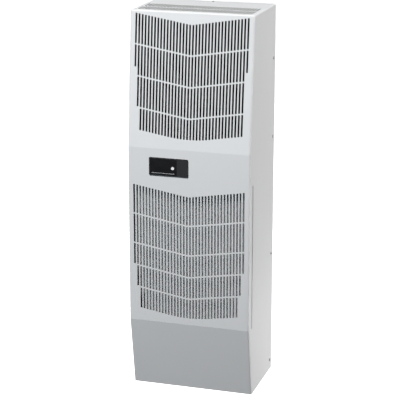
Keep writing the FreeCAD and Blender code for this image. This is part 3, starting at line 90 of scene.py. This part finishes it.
class Tree:
    def __init__(self, nodeTree):
        self.nodeTree = nodeTree

    def node(self, kind, settings=None, inputs=None):
        made = self.nodeTree.nodes.new(kind)
        for name, value in (settings or {}).items():
            if name == "stops":
                self.setStops(made.color_ramp, value)
            else:
                setattr(made, name, value)
        for key, value in (inputs or {}).items():
            self.feed(made.inputs[key], value)
        return made

    def setStops(self, ramp, stops):
        for element, (position, colour) in zip(ramp.elements, stops):
            element.position = position
            element.color = (*colour, 1.0)

    def feed(self, socket, value):
        if isinstance(value, Wire):
            self.nodeTree.links.new(value.socket, socket)
        else:
            socket.default_value = value


class Finish(Tree):
    def __init__(self, name, **constants):
        self.material = bpy.data.materials.new(name)
        self.material.use_nodes = True
        super().__init__(self.material.node_tree)
        self.shader = self.nodeTree.nodes["Principled BSDF"]
        self.place = Wire(self, self.node("ShaderNodeTexCoord").outputs["Object"])
        for socket, value in constants.items():
            self.shader.inputs[socket.replace("_", " ")].default_value = value

    def stretched(self, scale):
        mapping = self.node("ShaderNodeMapping", {}, {"Vector": self.place, "Scale": scale})
        return Wire(self, mapping.outputs["Vector"])

    def noise(self, scale, detail, vector=None):
        inputs = {"Vector": vector or self.place, "Scale": scale, "Detail": detail}
        return Wire(self, self.node("ShaderNodeTexNoise", {}, inputs).outputs["Fac"])

    def cells(self, scale, output, vector=None):
        inputs = {"Vector": vector or self.place, "Scale": scale}
        return Wire(self, self.node("ShaderNodeTexVoronoi", {}, inputs).outputs[output])

    def grey(self, colour):
        return Wire(self, self.node("ShaderNodeSeparateColor", {}, {0: colour}).outputs[0])

    def blend(self, share, first, second):  # a share of the first, the rest of the second
        return share * first + (1 - share) * second

    def between(self, factor, low, high):  # number from low to high
        return low + factor * (high - low)

    def tint(self, factor, dark, light):
        stops = [(0.0, dark), (1.0, light)]
        return Wire(self, self.node("ShaderNodeValToRGB", {"stops": stops}, {0: factor}).outputs["Color"])

    def colour(self, wire):
        self.feed(self.shader.inputs["Base Color"], wire)

    def rough(self, wire):
        self.feed(self.shader.inputs["Roughness"], wire)

    def bump(self, height, strength, depth):
        inputs = {"Height": height, "Strength": strength, "Distance": depth}
        bumped = self.node("ShaderNodeBump", {}, inputs)
        self.feed(self.shader.inputs["Normal"], Wire(self, bumped.outputs["Normal"]))
        return self


# in the settings of finishes a noise is its scale and detail, a range its two ends, and relief its
# strength and depth

# powder coat: near-white grey with orange peel and a slight drift in tone
coatSettings = {"clear": 0.05, "clearRough": 0.3, "drift": (2.2, 3.0), "speck": (1400.0, 1.0),
                "driftShare": 0.75, "peel": (620.0, 2.0), "gloss": (35.0, 4.0), "rough": (0.42, 0.54),
                "relief": (0.12, 0.0004)}


def powderCoat(name, light, dark):
    made = coatSettings
    coat = Finish(name, Coat_Weight=made["clear"], Coat_Roughness=made["clearRough"])
    drift = coat.noise(*made["drift"])
    speck = coat.noise(*made["speck"])
    coat.colour(coat.tint(coat.blend(made["driftShare"], drift, speck), dark, light))
    coat.rough(coat.between(coat.noise(*made["gloss"]), *made["rough"]))
    return coat.bump(coat.noise(*made["peel"]), *made["relief"]).material


# zinc sheet: flat crystals that differ in tone and gloss
zincSettings = {"metal": 0.85, "crystal": 170.0, "cloud": (9.0, 4.0), "crystalShare": 0.6,
                "rough": (0.36, 0.56), "grain": (260.0, 3.0), "relief": (0.08, 0.0003)}


def zincSheet(name, light, dark):
    made = zincSettings
    zinc = Finish(name, Metallic=made["metal"])
    flake = zinc.grey(zinc.cells(made["crystal"], "Color"))
    cloud = zinc.noise(*made["cloud"])
    zinc.colour(zinc.tint(zinc.blend(made["crystalShare"], flake, cloud), dark, light))
    zinc.rough(zinc.between(flake, *made["rough"]))
    return zinc.bump(zinc.noise(*made["grain"]), *made["relief"]).material


# moulded plastic: fine spark grain
plasticSettings = {"spark": (900.0, 2.0), "cloud": (14.0, 3.0), "sparkShare": 0.5, "gloss": (40.0, 3.0),
                   "roughSpread": 0.06, "relief": (0.15, 0.0002)}


def mouldedPlastic(name, light, dark, rough, shine=0.5):
    made = plasticSettings
    plastic = Finish(name, Specular_IOR_Level=shine)
    spark = plastic.noise(*made["spark"])
    cloud = plastic.noise(*made["cloud"])
    plastic.colour(plastic.tint(plastic.blend(made["sparkShare"], spark, cloud), dark, light))
    gloss = plastic.noise(*made["gloss"])
    plastic.rough(plastic.between(gloss, rough - made["roughSpread"], rough + made["roughSpread"]))
    return plastic.bump(spark, *made["relief"]).material


# foam, rubber and matt coat: open skin
skinSettings = {"shine": 0.25, "cloud": (30.0, 3.0), "poreShare": 0.5, "gloss": (60.0, 2.0),
                "rough": (0.78, 0.95), "strength": 0.35}


def mattSkin(name, light, dark, pore, depth):
    made = skinSettings
    skin = Finish(name, Specular_IOR_Level=made["shine"])
    pores = skin.cells(pore, "Distance")
    cloud = skin.noise(*made["cloud"])
    skin.colour(skin.tint(skin.blend(made["poreShare"], pores, cloud), dark, light))
    skin.rough(skin.between(skin.noise(*made["gloss"]), *made["rough"]))
    return skin.bump(pores, made["strength"], depth).material


# enamel: glossy black with dust and sagging
enamelSettings = {"clear": 0.3, "clearRough": 0.15, "dust": (22.0, 6.0), "rough": (0.28, 0.46),
                  "sag": (320.0, 2.0), "relief": (0.1, 0.0005)}


def enamel(name, light, dark):
    made = enamelSettings
    gloss = Finish(name, Coat_Weight=made["clear"], Coat_Roughness=made["clearRough"])
    dust = gloss.noise(*made["dust"])
    gloss.colour(gloss.tint(dust, dark, light))
    gloss.rough(gloss.between(dust, *made["rough"]))
    return gloss.bump(gloss.noise(*made["sag"]), *made["relief"]).material


# drawn or rolled metal: streaks along one direction
drawnSettings = {"lines": (60.0, 5.0), "cloud": (12.0, 4.0), "lineShare": 0.65, "smoother": 0.08,
                 "rougher": 0.1, "relief": (0.08, 0.0002)}


def drawnMetal(name, light, dark, streak, rough, metallic=0.95):
    made = drawnSettings
    metal = Finish(name, Metallic=metallic)
    lines = metal.noise(*made["lines"], metal.stretched(streak))
    cloud = metal.noise(*made["cloud"])
    metal.colour(metal.tint(metal.blend(made["lineShare"], lines, cloud), dark, light))
    metal.rough(metal.between(lines, rough - made["smoother"], rough + made["rougher"]))
    return metal.bump(lines, *made["relief"]).material


# smoked window: dark, glossy, with faint wipe marks
smokeSettings = {"clear": 0.4, "clearRough": 0.06, "wipe": (40.0, 4.0), "stretch": (1.0, 1.0, 3.0),
                 "rough": (0.14, 0.26), "relief": (0.03, 0.0001)}


def smokedWindow(name, light, dark):
    made = smokeSettings
    glass = Finish(name, Coat_Weight=made["clear"], Coat_Roughness=made["clearRough"])
    wipe = glass.noise(*made["wipe"], glass.stretched(made["stretch"]))
    glass.colour(glass.tint(wipe, dark, light))
    glass.rough(glass.between(wipe, *made["rough"]))
    return glass.bump(wipe, *made["relief"]).material


# circuit board: solder mask with tracks between its cells
boardSettings = {"cell": 240.0, "stretch": (1.0, 1.0, 0.35), "edge": 0.42, "rough": (0.3, 0.45),
                 "relief": (0.2, 0.0002)}


def circuitBoard(name, light, dark):
    made = boardSettings
    board = Finish(name)
    tracks = board.cells(made["cell"], "Distance", board.stretched(made["stretch"])) > made["edge"]
    board.colour(board.tint(tracks, dark, light))
    board.rough(board.between(tracks, *made["rough"]))
    return board.bump(tracks, *made["relief"]).material


finishes = {
    "cabinetPaint": powderCoat("cabinetPaint", (0.71, 0.715, 0.72), (0.66, 0.666, 0.675)),
    "galvanised": zincSheet("galvanised", (0.69, 0.71, 0.72), (0.57, 0.59, 0.60)),
    # near-black matt sheet for the duct and housing: partly black coating, partly painted shade, made darker
    # so the inside seen through the vents reads as shadowed
    "blackSheetPaintedShade": mattSkin("blackSheetPaintedShade", (0.020, 0.020, 0.021), (0.010, 0.010, 0.011),
                          pore=160.0, depth=0.0006),
    "zincScrew": drawnMetal("zincScrew", (0.52, 0.52, 0.51), (0.38, 0.38, 0.38),
                            streak=(1.0, 1.0, 6.0), rough=0.34),
    "foam": mattSkin("foam", (0.045, 0.045, 0.048), (0.02, 0.02, 0.022), pore=420.0, depth=0.0012),
    "rubber": mattSkin("rubber", (0.035, 0.035, 0.036), (0.02, 0.02, 0.02), pore=900.0, depth=0.0003),
    "filterMetal": drawnMetal("filterMetal", (0.58, 0.59, 0.60), (0.44, 0.45, 0.46),
                              streak=(4.0, 1.0, 1.0), rough=0.66, metallic=0.3),
    "finAluminium": drawnMetal("finAluminium", (0.74, 0.75, 0.76), (0.56, 0.57, 0.58),
                               streak=(1.0, 1.0, 8.0), rough=0.38),
    "copper": drawnMetal("copper", (0.78, 0.43, 0.28), (0.48, 0.22, 0.13),
                         streak=(3.0, 3.0, 3.0), rough=0.33),
    "fanPlastic": mouldedPlastic("fanPlastic", (0.018, 0.018, 0.020), (0.010, 0.010, 0.011),
                                 rough=0.72, shine=0.2),
    "blackEnamel": enamel("blackEnamel", (0.03, 0.03, 0.031), (0.012, 0.012, 0.012)),
    "bezelPlastic": mouldedPlastic("bezelPlastic", (0.027, 0.028, 0.029), (0.019, 0.019, 0.020),
                                   rough=0.5, shine=0.3),
    "windowSmoke": smokedWindow("windowSmoke", (0.015, 0.015, 0.016), (0.009, 0.009, 0.010)),
    "keyWhite": mouldedPlastic("keyWhite", (0.90, 0.91, 0.92), (0.84, 0.85, 0.86), rough=0.3),
    "boardGreen": circuitBoard("boardGreen", (0.03, 0.20, 0.07), (0.015, 0.10, 0.035)),
    "canMetal": drawnMetal("canMetal", (0.76, 0.76, 0.77), (0.58, 0.58, 0.59),
                           streak=(1.0, 1.0, 9.0), rough=0.3),
    "ruleGrey": mouldedPlastic("ruleGrey", (0.56, 0.57, 0.58), (0.47, 0.48, 0.49), rough=0.45),
}

wearers = {
    "cabinetPaint": ["front_cover"],
    "galvanised": ["rear_panel", "rear_flange", "base_pan", "condenser_plates", "evaporator_plates",
                   "filter_guide_lower", "filter_guide_upper", "electrical_box", "electrical_lid",
                   "inlet_ring", "condensate_tray"],
    # near-black sheet here stands partly for painted shade inside the cabinet
    "blackSheetPaintedShade": ["fan_duct", "fan_bracket", "evaporator_housing"],
    "zincScrew": ["cover_screws", "mounting_nuts", "compressor_nuts"],
    "foam": ["rear_gasket", "housing_liner"],
    "rubber": ["cable_grommet", "compressor_feet", "drain_hose"],
    "filterMetal": ["filter_frame", "filter_mesh"],
    "finAluminium": ["condenser_fins", "evaporator_fins"],
    "copper": ["condenser_bends", "evaporator_bends", "discharge_line", "liquid_line", "capillary_tube",
               "suction_line", "suction_elbow", "filter_drier"],
    "fanPlastic": ["condenser_fan", "evaporator_impeller", "impeller_shroud", "drain_spout"],
    "blackEnamel": ["compressor", "compressor_plate", "accumulator", "fan_motor", "blower_motor"],
    "bezelPlastic": ["control_bezel", "terminal_cover", "contactor", "terminal_block"],
    "windowSmoke": ["display_window"],
    "keyWhite": ["control_key"],
    "boardGreen": ["control_board"],
    "canMetal": ["run_capacitor"],
}
for finishName, names in wearers.items():
    for name in names:
        for slot in nodes[name].material_slots:
            slot.material = finishes[finishName]
print("finishes on CAD nodes:", sum(len(names) for names in wearers.values()))


def addPiece(name, bm, body, finish, replaced=()):
    mesh = bpy.data.meshes.new(name)
    bm.normal_update()
    bm.to_mesh(mesh)
    bm.free()
    mesh.materials.append(finishes[finish])
    piece = bpy.data.objects.new(name, mesh)
    scene.collection.objects.link(piece)
    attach(piece, body)
    if replaced:
        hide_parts(*replaced)
    print("piece:", name, len(mesh.polygons), "faces")


def cornerPoints(node, digits):  # distinct corners of a CAD node
    return {tuple(round(value, digits) for value in vert.co) for vert in nodes[node].data.vertices}


# filter: fine expanded mesh on both faces of a crimped pad
filterSettings = {"long": 0.0028, "short": 0.0014, "strand": 0.0005, "inset": 0.0006, "crimp": 0.009,
                  "sheet": 0.0004}


def expandedSheet(low, high, depth):  # strands that lean both ways, trimmed to the pad
    wide, tall = high.x - low.x, high.z - low.z
    long, short, strand = filterSettings["long"], filterSettings["short"], filterSettings["strand"]
    lean = math.atan2(short, long)
    reach = math.ceil((tall + wide * short / long) / short / 2)
    strandSize = Matrix.Diagonal((wide / math.cos(lean) + short, strand, strand, 1.0))
    middle = (low + high) / 2
    bm = bmesh.new()
    for side in (-1, 1):
        turn = Matrix.Rotation(side * lean, 4, "Y")
        for index in range(-reach, reach + 1):
            place = Matrix.Translation((middle.x, depth + side * strand / 2, middle.z + index * short))
            bmesh.ops.create_cube(bm, size=1.0, matrix=place @ turn @ strandSize)
    for point, normal in ((low, (-1, 0, 0)), (high, (1, 0, 0)), (low, (0, 0, -1)), (high, (0, 0, 1))):
        everything = bm.verts[:] + bm.edges[:] + bm.faces[:]
        bmesh.ops.bisect_plane(bm, geom=everything, plane_co=point, plane_no=normal, clear_outer=True)
        bmesh.ops.holes_fill(bm, edges=[edge for edge in bm.edges if edge.is_boundary], sides=0)
    return bm


padLow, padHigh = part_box("filter_mesh")
padLow, padHigh = Vector(padLow), Vector(padHigh)
sheetIn = filterSettings["inset"] + filterSettings["strand"]  # from the pad's face to the middle of the mesh
addPiece("filterFrontSheet", expandedSheet(padLow, padHigh, padLow.y + sheetIn), "air_filter",
         "filterMetal", ["filter_mesh"])
addPiece("filterRearSheet", expandedSheet(padLow, padHigh, padHigh.y - sheetIn), "air_filter",
         "filterMetal")

# crimped core between the sheets
core = bmesh.new()
padSize = padHigh - padLow
folds = int(padSize.x / filterSettings["crimp"])
bmesh.ops.create_grid(core, x_segments=folds, y_segments=1, size=0.5)
coreCentre = Matrix.Translation((padLow + padHigh) / 2)
upright = Matrix.Rotation(quarterTurn, 4, "X")
coreSize = Matrix.Diagonal((padSize.x, padSize.z, 1.0, 1.0))
bmesh.ops.transform(core, matrix=coreCentre @ upright @ coreSize, verts=core.verts)
foldStep = padSize.x / folds
ridge = padSize.y / 2 - 2 * sheetIn - filterSettings["sheet"]
for vert in core.verts:
    fold = round((vert.co.x - padLow.x) / foldStep)
    vert.co.y += ridge if fold % 2 else -ridge
bmesh.ops.solidify(core, geom=core.faces[:], thickness=filterSettings["sheet"])
addPiece("filterCore", core, "air_filter", "filterMetal")

# coil fins: thin plates on straight tubes
finSettings = {"pitch": 0.0024, "thick": 0.00028, "tube": 0.00475, "sides": 16, "condenserRows": 12,
               "evaporatorRows": 8}


def finPack(name, node, rows):
    points = cornerPoints(node, digits=5)
    foot = Vector(min(points, key=lambda point: (point[0], point[2], point[1])))
    side = [Vector(point) for point in points if abs(point[0] - foot.x) < samePlane]
    side.sort(key=lambda point: (point - foot).length)  # itself, along the depth, along the height, across
    shortEdge, longEdge = side[1] - foot, side[2] - foot
    wide = -2 * foot.x
    count = int(wide / finSettings["pitch"])
    basis = Matrix((Vector((1, 0, 0)), shortEdge.normalized(), longEdge.normalized())).transposed().to_4x4()
    finSize = Matrix.Diagonal((finSettings["thick"], shortEdge.length, longEdge.length, 1.0))
    middle = foot + (shortEdge + longEdge) / 2
    bm = bmesh.new()
    for index in range(count + 1):
        place = Matrix.Translation((foot.x + wide * index / count, middle.y, middle.z))
        bmesh.ops.create_cube(bm, size=1.0, matrix=place @ basis @ finSize)
    across = Matrix.Rotation(quarterTurn, 4, "Y")
    for row in range(rows):
        tube = foot + shortEdge / 2 + longEdge / rows * (row + 0.5)
        centre = Matrix.Translation((0.0, tube.y, tube.z))
        bmesh.ops.create_cone(bm, cap_ends=True, segments=finSettings["sides"], radius1=finSettings["tube"],
                              radius2=finSettings["tube"], depth=wide, matrix=centre @ across)
    bmesh.ops.recalc_face_normals(bm, faces=bm.faces)
    addPiece(name, bm, "cabinet", "finAluminium", [node])


finPack("condenserFins", "condenser_fins", finSettings["condenserRows"])
finPack("evaporatorFins", "evaporator_fins", finSettings["evaporatorRows"])

# cover screws: button heads with a hexagon socket; rim and shoulder are shares of the head
screwSettings = {"sides": 24, "head": 0.005, "crown": 0.0034, "tall": 0.003, "rimUp": 0.35, "shoulder": 0.93,
                 "shoulderUp": 0.7, "socket": 0.0021, "socketSides": 6, "deep": 0.0016, "shank": 0.0024,
                 "shankSides": 16, "long": 0.008, "apart": 0.02}


def addScrew(bm, place, out):
    made = screwSettings
    turn = Vector((0, 0, 1)).rotation_difference(out).to_matrix().to_4x4()
    stand = Matrix.Translation(place) @ turn
    levels = [
        (made["sides"], made["head"], 0.0),
        (made["sides"], made["head"], made["tall"] * made["rimUp"]),
        (made["sides"], made["head"] * made["shoulder"], made["tall"] * made["shoulderUp"]),
        (made["sides"], made["crown"], made["tall"]),
        (made["socketSides"], made["socket"], made["tall"]),
        (made["socketSides"], made["socket"], made["tall"] - made["deep"]),
    ]
    loops = []
    for sides, radius, level in levels:
        lift = stand @ Matrix.Translation((0, 0, level))
        loops.append(bmesh.ops.create_circle(bm, segments=sides, radius=radius, matrix=lift)["verts"])
    for lower, upper in zip(loops, loops[1:]):
        edges = {edge for vert in lower + upper for edge in vert.link_edges}
        ends = [edge for edge in edges if set(edge.verts) <= set(lower) or set(edge.verts) <= set(upper)]
        bmesh.ops.bridge_loops(bm, edges=ends)
    bmesh.ops.contextual_create(bm, geom=loops[-1])
    bmesh.ops.contextual_create(bm, geom=loops[0])
    drop = stand @ Matrix.Translation((0, 0, -made["long"] / 2))
    bmesh.ops.create_cone(bm, cap_ends=True, segments=made["shankSides"], radius1=made["shank"],
                          radius2=made["shank"], depth=made["long"], matrix=drop)


screws = bmesh.new()
screwLow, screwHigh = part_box("cover_screws")
screwPoints = cornerPoints("cover_screws", digits=4)
outX = screwHigh[0] - screwSettings["tall"]
outZ = screwHigh[2] - screwSettings["tall"]
rimPoints = [point for point in screwPoints if abs(point[0] - screwHigh[0]) < samePlane]
heights = sorted({round(point[2], ndigits=3) for point in rimPoints})
groups = []
for height in heights:  # rim points of each head share one middle
    if not groups or height - groups[-1][-1] > screwSettings["apart"]:
        groups.append([])
    groups[-1].append(height)
screwDepth = (screwLow[1] + screwHigh[1]) / 2
for group in groups:
    level = (group[0] + group[-1]) / 2
    for side in (1, -1):
        addScrew(screws, Vector((side * outX, screwDepth, level)), Vector((side, 0, 0)))
addScrew(screws, Vector((0, screwDepth, outZ)), Vector((0, 0, 1)))
bmesh.ops.recalc_face_normals(screws, faces=screws.faces)
addPiece("coverScrews", screws, "cabinet", "zincScrew", ["cover_screws"])

# plain raised line along the foot of the display window
ruleSettings = {"from": 0.0058, "to": 0.087, "rise": 0.0053, "tall": 0.0013, "proud": 0.00025,
                "bevel": 0.0001, "steps": 2}
windowCorner = Vector(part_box("display_window")[0])
ruleLow = windowCorner + Vector((ruleSettings["from"], -ruleSettings["proud"], ruleSettings["rise"]))
ruleTop = ruleSettings["rise"] + ruleSettings["tall"]
ruleHigh = windowCorner + Vector((ruleSettings["to"], ruleSettings["proud"], ruleTop))
ruleCentre = Matrix.Translation((ruleLow + ruleHigh) / 2)
ruleSize = Matrix.Diagonal((*(ruleHigh - ruleLow), 1.0))
rule = bmesh.new()
bmesh.ops.create_cube(rule, size=1.0, matrix=ruleCentre @ ruleSize)
bmesh.ops.bevel(rule, geom=rule.edges[:], offset=ruleSettings["bevel"], affect="EDGES",
                segments=ruleSettings["steps"], profile=0.5, material=-1)
addPiece("panelRule", rule, "cabinet", "ruleGrey")

# floor
floorSettings = {"size": 14.0, "rough": 0.9, "glow": 0.95, "cloud": (3.0, 2.0), "dark": (0.90, 0.90, 0.90),
                 "light": (0.93, 0.93, 0.93)}
floorMesh = bmesh.new()
floorPlace = Matrix.Translation((0, 0, cadLow[2]))
bmesh.ops.create_grid(floorMesh, x_segments=1, y_segments=1, size=floorSettings["size"], matrix=floorPlace)
floorData = bpy.data.meshes.new("studioFloor")
floorMesh.to_mesh(floorData)
floorMesh.free()
floor = bpy.data.objects.new("studioFloor", floorData)
scene.collection.objects.link(floor)
floorFinish = Finish("studioFloor", Roughness=floorSettings["rough"], Emission_Color=(1.0, 1.0, 1.0, 1.0),
                     Emission_Strength=floorSettings["glow"])
floorCloud = floorFinish.noise(*floorSettings["cloud"])
floorFinish.colour(floorFinish.tint(floorCloud, floorSettings["dark"], floorSettings["light"]))
floorData.materials.append(floorFinish.material)
floor.visible_diffuse = False  # the unit hangs in the open, so little light comes up from below
floor.visible_glossy = False

# square lamps, cooler in front and warmer at the side
lightSettings = {
    "key": {"at": (-1.0, -4.2, 4.9), "aim": (0, -0.2, 0), "size": 2.1, "power": 448.0,
            "tint": (1.0, 0.985, 0.965)},
    "front": {"at": (-0.9, -3.2, 0.8), "aim": (0, -0.2, 0), "size": 1.4, "power": 22.5,
              "tint": (0.76, 0.89, 1.0)},
    "roof": {"at": (0, 1.0, 2.6), "aim": (0, -0.1, 0.66), "size": 1.0, "power": 9.5,
             "tint": (0.85, 0.94, 1.0)},
    "side": {"at": (3.4, 0.8, 1.2), "aim": (0.2, -0.15, 0.5), "size": 1.2, "power": 107.0,
             "tint": (1.0, 0.99, 0.98)},
    "sideLow": {"at": (0.9, 0.25, -0.7), "aim": (0.2, -0.15, -0.7), "size": 0.3, "power": 7.0,
                "tint": (1.0, 0.99, 1.0)},
    "rear": {"at": (-2.7, 3.3, 0.75), "aim": (0, 0, 0), "size": 1.8, "power": 105.0,
             "tint": (1.0, 1.0, 1.0)},
}
for name, made in lightSettings.items():
    lamp = bpy.data.lights.new(name + "Light", "AREA")
    lamp.shape = "SQUARE"
    lamp.size = made["size"]
    lamp.energy = made["power"]
    lamp.color = made["tint"]
    lampObject = bpy.data.objects.new(name + "Light", lamp)
    lampObject.location = made["at"]
    lampObject.rotation_euler = (Vector(made["aim"]) - Vector(made["at"])).to_track_quat("-Z", "Y").to_euler()
    scene.collection.objects.link(lampObject)

# white surroundings for the camera; for the light a soft sky, brightest above the horizon
skySettings = {"tint": (0.88, 0.94, 1.0, 1.0), "below": 0.01, "above": 0.085, "edge": 0.25}
world = bpy.data.worlds.new("studio")
scene.world = world
world.use_nodes = True
sky = Tree(world.node_tree)
direction = Wire(sky, sky.node("ShaderNodeTexCoord").outputs["Generated"])
height = Wire(sky, sky.node("ShaderNodeSeparateXYZ", {}, {0: direction}).outputs["Z"])
spread = {"Value": height, "From Min": -skySettings["edge"], "From Max": skySettings["edge"],
          "To Min": skySettings["below"], "To Max": skySettings["above"]}
strength = Wire(sky, sky.node("ShaderNodeMapRange", {}, spread).outputs[0])
soft = sky.node("ShaderNodeBackground", {}, {"Color": skySettings["tint"], "Strength": strength})
white = sky.node("ShaderNodeBackground", {}, {"Color": (1.0, 1.0, 1.0, 1.0)})
seen = Wire(sky, sky.node("ShaderNodeLightPath").outputs["Is Camera Ray"])
layers = {0: seen, 1: Wire(sky, soft.outputs[0]), 2: Wire(sky, white.outputs[0])}
mixed = sky.node("ShaderNodeMixShader", {}, layers)
sky.feed(world.node_tree.nodes["World Output"].inputs["Surface"], Wire(sky, mixed.outputs[0]))
scene.view_settings.view_transform = "Standard"
print("floor and light placed")

# camera: long lens, right of the middle and above the top; focal and frame in the photograph's pixels
cameraSettings = {"at": (1.513, -5.032, 1.4565), "pitch": -16.0, "yaw": 17.31, "focal": 1533.0,
                  "frame": 400.0, "sensor": 36.0}
pitch, yaw = math.radians(cameraSettings["pitch"]), math.radians(cameraSettings["yaw"])
ahead = Vector((-math.sin(yaw) * math.cos(pitch), math.cos(yaw) * math.cos(pitch), math.sin(pitch)))
lens = bpy.data.cameras.new("photoCamera")
lens.sensor_width = cameraSettings["sensor"]
lens.lens = cameraSettings["focal"] / cameraSettings["frame"] * cameraSettings["sensor"]
camera = bpy.data.objects.new("photoCamera", lens)
camera.location = cameraSettings["at"]
camera.rotation_euler = ahead.to_track_quat("-Z", "Y").to_euler()
scene.collection.objects.link(camera)
scene.camera = camera
print("camera placed")
